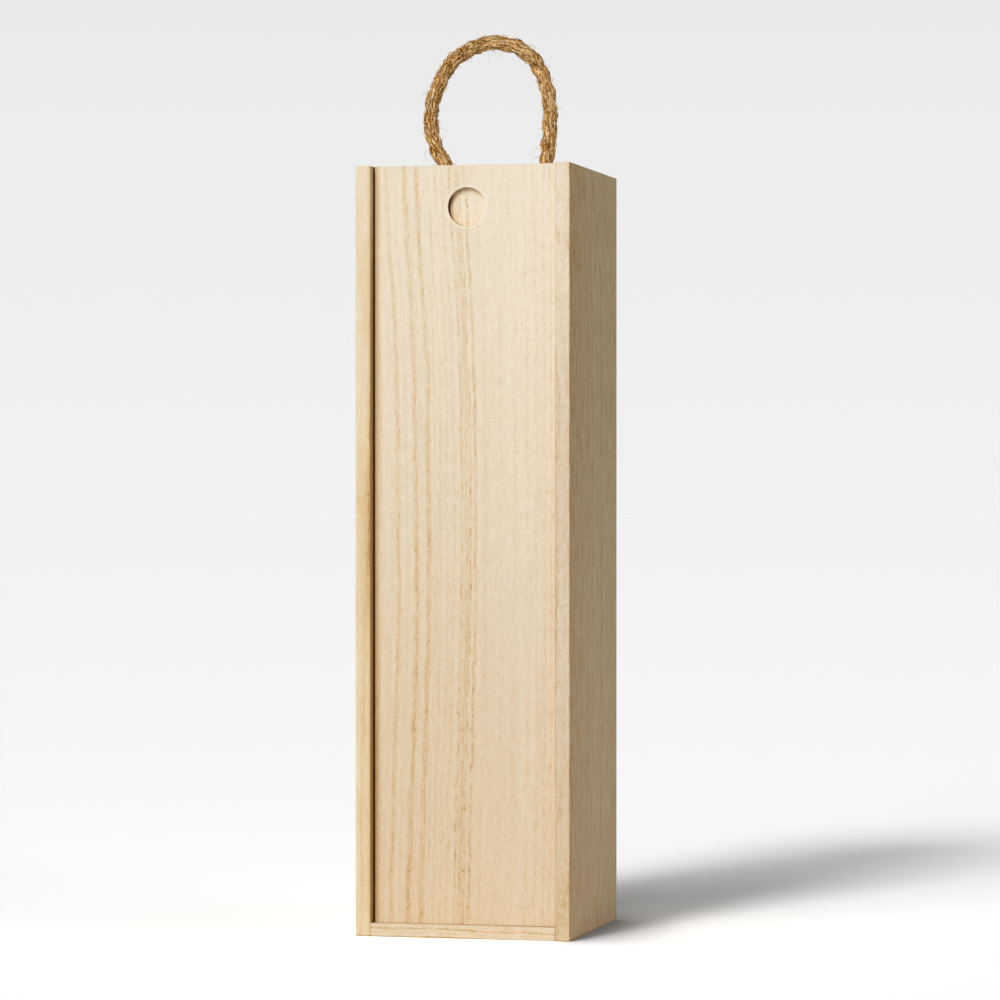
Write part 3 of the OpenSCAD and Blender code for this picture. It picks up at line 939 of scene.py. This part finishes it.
def placed_fibres(name, curves, seed):
    """Fibres along given curves: each has three points (across, up) in mm above the holes and
    is the quadratic curve that starts and ends at the outer two and bends towards the middle."""
    a, b, c = np.moveaxis(np.array(curves, float) * MM, 1, 0)[:, :, None]
    t = np.linspace(0, 1, 9)[None, :, None]
    flat = (1 - t) ** 2 * a + 2 * t * (1 - t) * b + t ** 2 * c
    draw = np.random.default_rng(seed)
    across = ROPE_Y - MM + draw.normal(0, 0.5 * MM, (len(curves), 1)) + 0 * t[..., 0]
    lines = np.stack([LOOP_X + flat[..., 0], across, BOX_H + flat[..., 1]], -1)
    radius = draw.uniform(0.06, 0.10, (len(curves), 1)) * MM * (1 - 0.6 * t[..., 0])
    return fibre_mesh(name, lines, radius, draw.uniform(0.1, 0.6, len(curves)))


# ------------ pieces

def stand_for(piece, body, slot, material, *nodes):
    """Gives a new piece its body, its finish and the nodes that it stands for."""
    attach(piece, body)
    if nodes:
        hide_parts(*nodes)
    piece.data.materials.append(material)


def dress(node, material):
    """Gives a node of the frame a finish."""
    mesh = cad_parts[node].data
    mesh.materials.clear()
    mesh.materials.append(material)


right_side = make_side("right_side_board", *side_outline(), 11)
left_side = make_side("left_side_board", *mirrored(*side_outline()), 12)
lid = make_lid()
bottom_board = make_end_board("bottom_end_board", RAIL_LOW, RAIL_HIGH, 14)
top_board = make_top_board()

left_wood = wood("left_side_wood", "yxz", rings(11.0, (24.0, 130.0), 0.05, 0.7), left_tone,
                 seed=2.0, stain=0.17, gold=0.4, grain=1.3)
right_wood = wood("right_side_wood", "yxz", drawn_lines(RIGHT_LINES, right_bend, 0.5, OUTER),
                  right_tone, seed=3.0, stain=0.20, gold=0.05, grain=1.6)
lid_wood = wood("lid_wood", "xyz", drawn_lines(LID_LINES, lid_bend, strength=0.8), lid_tone,
                seed=1.0, stain=0.10, gold=0.0)
bottom_wood = wood("bottom_wood", "zyx", drawn_lines(RAIL_LINES, rail_bend, 0.5, FRONT),
                   seed=4.0, stain=0.40, gold=0.0, grain=1.3)
top_wood = wood("top_wood", "yzx", rings(8.0, (30.0, 120.0), 0.12), seed=5.0, stain=0.26)
panel_wood = wood("panel_wood", "xyz", rings(10.0, (-14.0, -150.0), 0.10), seed=6.0, stain=0.30)

stand_for(left_side, "box", "side_wood", left_wood, "left_side")
stand_for(right_side, "box", "side_wood", right_wood, "right_side")
stand_for(lid, "lid", "lid_wood", lid_wood, "sliding_lid")
stand_for(bottom_board, "box", "end_wood", bottom_wood, "bottom_board")
stand_for(top_board, "box", "end_wood", top_wood, "top_board")
dress("back_panel", panel_wood)
dress("back_brads", steel())

loop_points = [(LOOP_X + x * MM, ROPE_Y, BOX_H + z * MM) for x, z in LOOP]
first_end, last_end = ((x, ROPE_Y, KNOT_HIGH[2]) for x in HOLE_X)
path, s = smooth_path([first_end] + loop_points + [last_end], PATH_STEP)
rope = Rope(path, s, (0, 1, 0), 31)
handle = strand_mesh("rope", rope)
fibres = [
    lying_fibres("rope_fibres", rope, 900, 21, 4 * MM, 13 * MM),
    lying_fibres("rope_short_fibres", rope, 2200, 24, 1.5 * MM, 5 * MM, 0.19 * MM, 0.16),
    flying_fibres("rope_stubs", rope, 2400, 25, 0.6 * MM, 0.13 * MM),
    flying_fibres("rope_fuzz", rope, 1300, 22, 1.3 * MM, 0.08 * MM),
    flying_fibres("rope_hairs", rope, 260, 23, 3.2 * MM, 0.06 * MM),
    placed_fibres("rope_stray_fibres", STRAYS, 26),
]
left_knot = make_knot("left_knot", HOLE_X[0], 3.4, 61)
right_knot = make_knot("right_knot", HOLE_X[1], 2.2, 71)

jute_finish = jute()
stand_for(left_knot, "box", "jute", jute_finish, "left_rope_knot")
stand_for(right_knot, "box", "jute", jute_finish, "right_rope_knot")
for piece in [handle] + fibres:
    piece.data.materials.append(jute_finish)
    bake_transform(piece)
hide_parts("rope_loop", "left_rope_tail", "right_rope_tail")
fibres + [left_knot, right_knot]

# ------------ stage

# The floor: its colour as the box meets it, half its width and how far its painted corner
# shadow reaches
PAPER = (0.8, 0.8, 0.8, 1)
FLOOR = 30.0
CORNER_SHADOW_REACH = 60 * MM
# How pale it looks, by the root of the distance from the box in tens of metres
FLOOR_STOPS = [(0.0, 1.87), (0.15, 1.87), (0.182, 1.835), (0.29, 1.78), (0.41, 1.745),
               (0.566, 1.725), (1.0, 1.683)]
# Its painted corner shadow, as a factor by how much open air lies over it
CORNER_SHADOW_STOPS = [(0.5, (0.25, 0.27, 0.315, 1)), (0.7, (0.57, 0.585, 0.62, 1)),
                (0.95, (1, 1, 1, 1))]
# How pale the air looks, by four times its rise over the horizon
SKY_STOPS = [(0.0, 0.888), (0.052, 0.880), (0.16, 0.863), (0.33, 0.847), (0.46, 0.823),
             (1.0, 0.76)]
AMBIENT = 0.085
# Lamps: name, azimuth from the front towards the left, elevation, strength and width in degrees
LAMPS = [("key", 16, 34, 1.26, 14), ("wide_key", 14, 36, 0.68, 50), ("low_key", 24, 7, 0.95, 40),
         ("fill", -78, 8, 0.72, 60)]
# The camera: place in metres, turn to the left and tilt down in degrees, lens in mm
CAMERA_AT = (0.4527, -1.8273, 0.2011)
CAMERA_TURN = 13.754
CAMERA_TILT = 0.089
LENS = 146.18


def make_floor():
    """Pale floor. Seen directly it is white about the box and greys a little further off, and a
    painted shadow darkens it along the foot of the box's right side."""
    vertices = np.array([[-FLOOR, -4, 0], [FLOOR, -4, 0], [FLOOR, FLOOR, 0], [-FLOOR, FLOOR, 0]])
    floor = mesh_object("floor", vertices, [[0, 1, 2, 3]])
    f = Finish(bpy.data.materials.new("floor_paper"))
    x, y, z = f.axes()
    away = (x * x + y * y).math("SQRT") / 10000.0
    seen = f.ramp(away ** 0.5, FLOOR_STOPS)
    # Painted contact shadow: the seen colour darkens where little open air lies over the floor
    open_air = f.add("AmbientOcclusion", sockets={"Distance": CORNER_SHADOW_REACH}, out=1)
    corner = f.ramp(open_air, CORNER_SHADOW_STOPS)
    seen = f.mix(f.smooth(x, OUTER - 8.0, OUTER + 2.0), seen, corner, "MULTIPLY")
    color = f.mix(f.add("LightPath"), PAPER, seen)
    floor.data.materials.append(f.close("BsdfDiffuse", {"Color": color}))


def make_world():
    """Even light from all round. Seen directly it greys a little with height."""
    sky = Finish(bpy.data.worlds.new("studio"))
    bpy.context.scene.world = sky.owner
    way = sky.add("TexCoord")
    rise = sky.add("SeparateXYZ", sockets={0: way}, out=2)
    seen = sky.ramp(rise * 4.0, SKY_STOPS)
    color = sky.mix(sky.add("LightPath"), (AMBIENT, AMBIENT, AMBIENT, 1), seen)
    light = sky.add("Background", sockets={0: color})
    sky.add("OutputWorld", sockets={0: light})


def make_lights():
    """A soft key from the front left within a wider one, a low one that softens the shadows on
    the box, and a weak and very soft fill from the right."""
    for name, azimuth, height, energy, width in LAMPS:
        lamp = bpy.data.lights.new(name, "SUN")
        lamp.energy = energy
        lamp.angle = math.radians(width)
        obj = bpy.data.objects.new(name, lamp)
        bpy.context.scene.collection.objects.link(obj)
        obj.rotation_euler = (math.radians(90 - height), 0, math.radians(-azimuth))


def make_camera():
    """Camera to the right of the box, a little below its top."""
    camera = bpy.data.cameras.new("camera")
    camera.lens = LENS
    camera.sensor_width = 36
    obj = bpy.data.objects.new("camera", camera)
    bpy.context.scene.collection.objects.link(obj)
    obj.location = CAMERA_AT
    obj.rotation_euler = (math.radians(90 - CAMERA_TILT), 0, math.radians(CAMERA_TURN))
    bpy.context.scene.camera = obj


make_floor()
make_world()
make_lights()
make_camera()
bpy.context.scene.view_settings.view_transform = "Standard"
